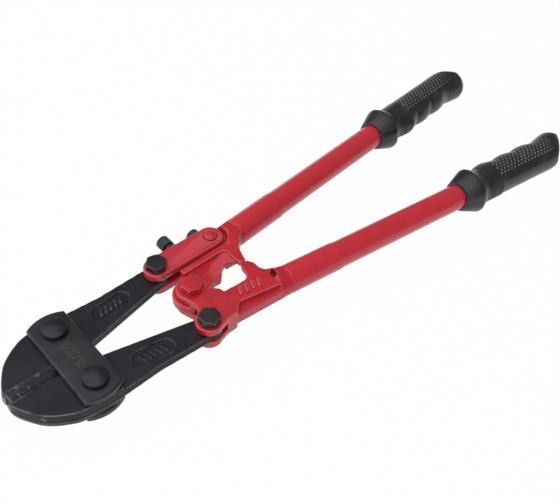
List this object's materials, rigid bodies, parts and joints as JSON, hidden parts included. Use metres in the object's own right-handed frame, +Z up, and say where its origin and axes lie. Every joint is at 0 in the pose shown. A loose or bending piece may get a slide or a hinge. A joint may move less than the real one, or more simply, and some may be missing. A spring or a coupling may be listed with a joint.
{
  "type": "bolt cutters",
  "caption": "Hand bolt cutters with two bevelled jaws held by head plates, a compound lever linkage with an adjusting link, and two tubular handles with moulded grips.",
  "frame": {"origin": "under the middle of the shut tool's box, on the surface that it lies on", "axes": "+X along the tool from the jaws towards the grips, +Y towards the handle that carries the adjusting link, +Z up"},
  "size_m": [0.451, 0.133, 0.033],
  "materials": {
    "blackened_steel": "black oxide on forged and ground steel, satin",
    "plate_steel": "black oxide plate, satin, slightly warm",
    "bolt_steel": "black oxide fasteners, semi-gloss",
    "red_paint": "red satin paint on forged steel",
    "tube_paint": "red satin paint on drawn steel tube",
    "grip_rubber": "moulded black rubber, satin"
  },
  "bodies": {
    "head": {"front_jaw_plate": "plate_steel", "rear_jaw_plate": "plate_steel", "upper_pivot_bolt": "bolt_steel", "lower_pivot_bolt": "bolt_steel", "upper_pivot_nut": "bolt_steel", "lower_pivot_nut": "bolt_steel"},
    "upper_jaw": {"upper_jaw": "blackened_steel"},
    "lower_jaw": {"lower_jaw": "blackened_steel"},
    "link": {"adjusting_link": "red_paint", "link_rivet": "red_paint", "upper_tail_bolt": "bolt_steel", "adjusting_lock_nut": "bolt_steel"},
    "upper_handle": {"upper_handle_casting": "red_paint", "upper_handle_tube": "tube_paint", "upper_grip": "grip_rubber"},
    "lower_handle": {"lower_handle_casting": "red_paint", "lower_tail_bolt": "bolt_steel", "centre_bolt": "red_paint", "lower_handle_tube": "tube_paint", "lower_grip": "grip_rubber"},
    "adjusting_screw": {"adjusting_screw": "bolt_steel"},
    "locking_screw": {"locking_screw": "bolt_steel"}
  },
  "joints": [
    {"name": "upper_handle_open", "type": "hinge", "parent": "upper_jaw", "child": "link", "pos_m": [-0.10527, 0.027, 0.0165], "axis": [0, 0, 1], "range_deg": [0, 60]},
    {"name": "lower_handle_open", "type": "hinge", "parent": "lower_jaw", "child": "lower_handle", "pos_m": [-0.10527, -0.027, 0.0165], "axis": [0, 0, 1], "range_deg": [-60, 0]},
    {"name": "upper_jaw_open", "type": "hinge", "parent": "head", "child": "upper_jaw", "pos_m": [-0.18117, 0.0213, 0.0165], "axis": [0, 0, 1], "range_deg": [-10.3, 0]},
    {"name": "lower_jaw_open", "type": "hinge", "parent": "head", "child": "lower_jaw", "pos_m": [-0.18117, -0.0213, 0.0165], "axis": [0, 0, 1], "range_deg": [0, 10.3]},
    {"name": "link_adjust", "type": "hinge", "parent": "link", "child": "upper_handle", "pos_m": [-0.06137, 0.028, 0.0165], "axis": [0, 0, 1], "range_deg": [0, 1]},
    {"name": "adjusting_screw_turn", "type": "hinge", "parent": "link", "child": "adjusting_screw", "pos_m": [-0.08467, 0.042, 0.0165], "axis": [0, 1, 0], "range_deg": [0, 130]},
    {"name": "locking_screw_turn", "type": "hinge", "parent": "link", "child": "locking_screw", "pos_m": [-0.06517, 0.04, 0.0165], "axis": [0, 1, 0], "range_deg": [0, 180]}
  ],
  "couplings": [
    {"joint": "lower_handle_open", "follows": "upper_handle_open", "ratio": -1},
    {"joint": "upper_jaw_open", "follows": "upper_handle_open", "ratio": -0.1706},
    {"joint": "lower_jaw_open", "follows": "upper_handle_open", "ratio": 0.1706},
    {"joint": "adjusting_screw_turn", "follows": "link_adjust", "ratio": 130}
  ]
}
